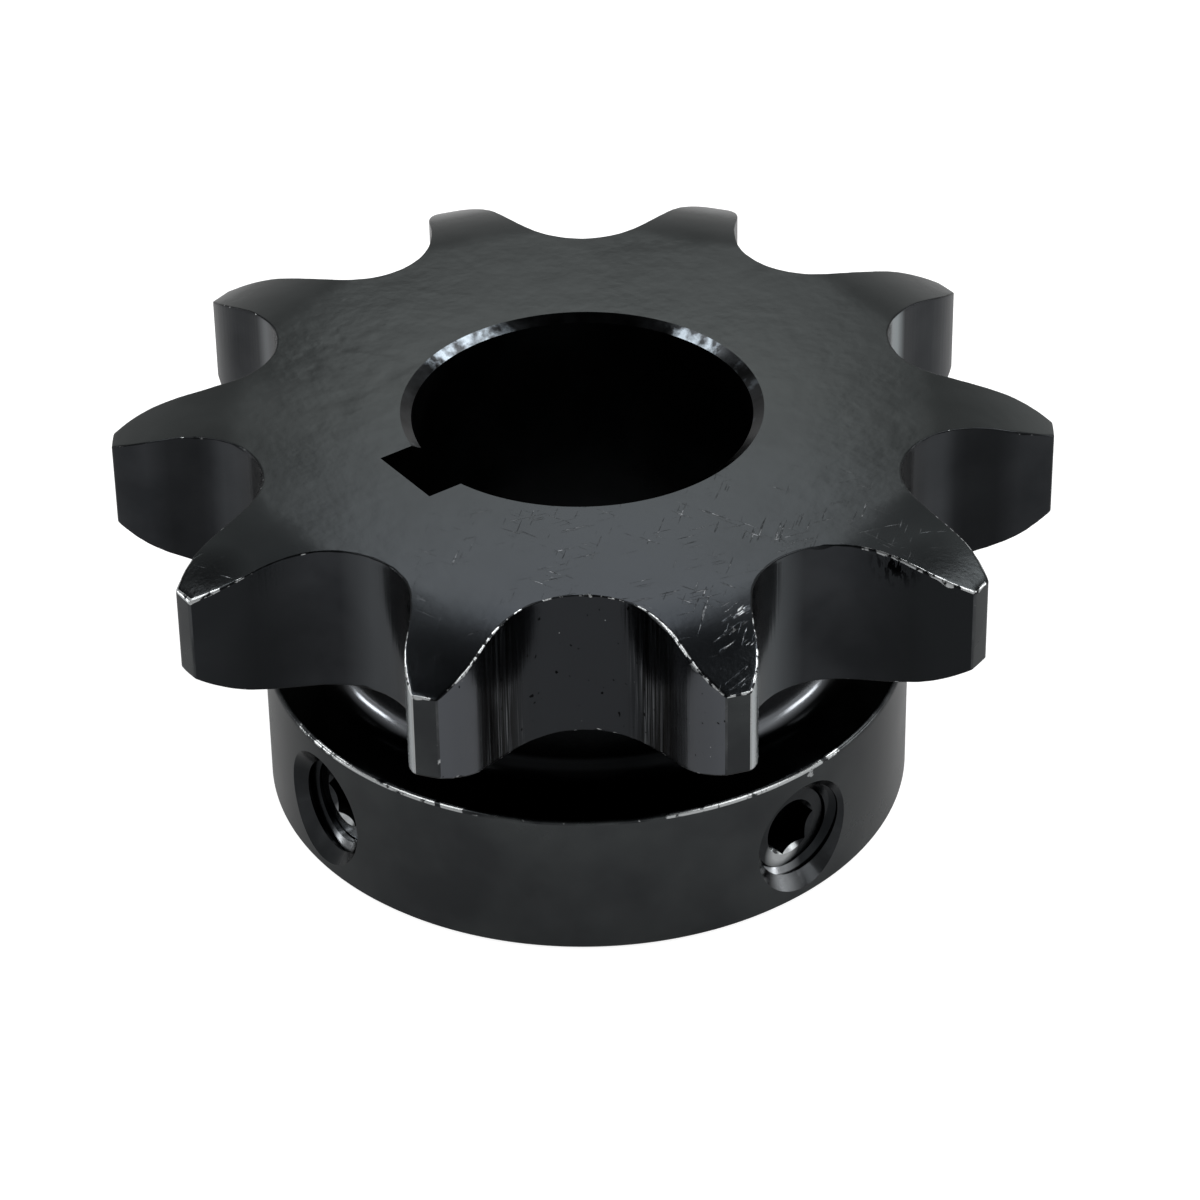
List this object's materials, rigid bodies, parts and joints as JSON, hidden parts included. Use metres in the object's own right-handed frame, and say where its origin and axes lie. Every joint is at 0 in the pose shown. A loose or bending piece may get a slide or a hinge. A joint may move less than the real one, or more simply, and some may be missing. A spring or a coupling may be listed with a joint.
{
  "type": "chain sprocket",
  "caption": "Thick roller-chain sprocket with a hub on one side, a turned neck under the teeth, a plain bore with a keyway, and socket set screws in the hub.",
  "frame": {"origin": "on the bore's axis, at the hub's end face that the sprocket stands on", "axes": "+Z along the bore towards the toothed plate, -X through the keyway and the tooth in line with it"},
  "size_m": [0.07, 0.0672, 0.0318],
  "materials": {
    "blackened_steel": "satin",
    "screw_steel": "satin"
  },
  "bodies": {
    "root": {"sprocket": "blackened_steel", "set_screws": "screw_steel"}
  },
  "joints": []
}
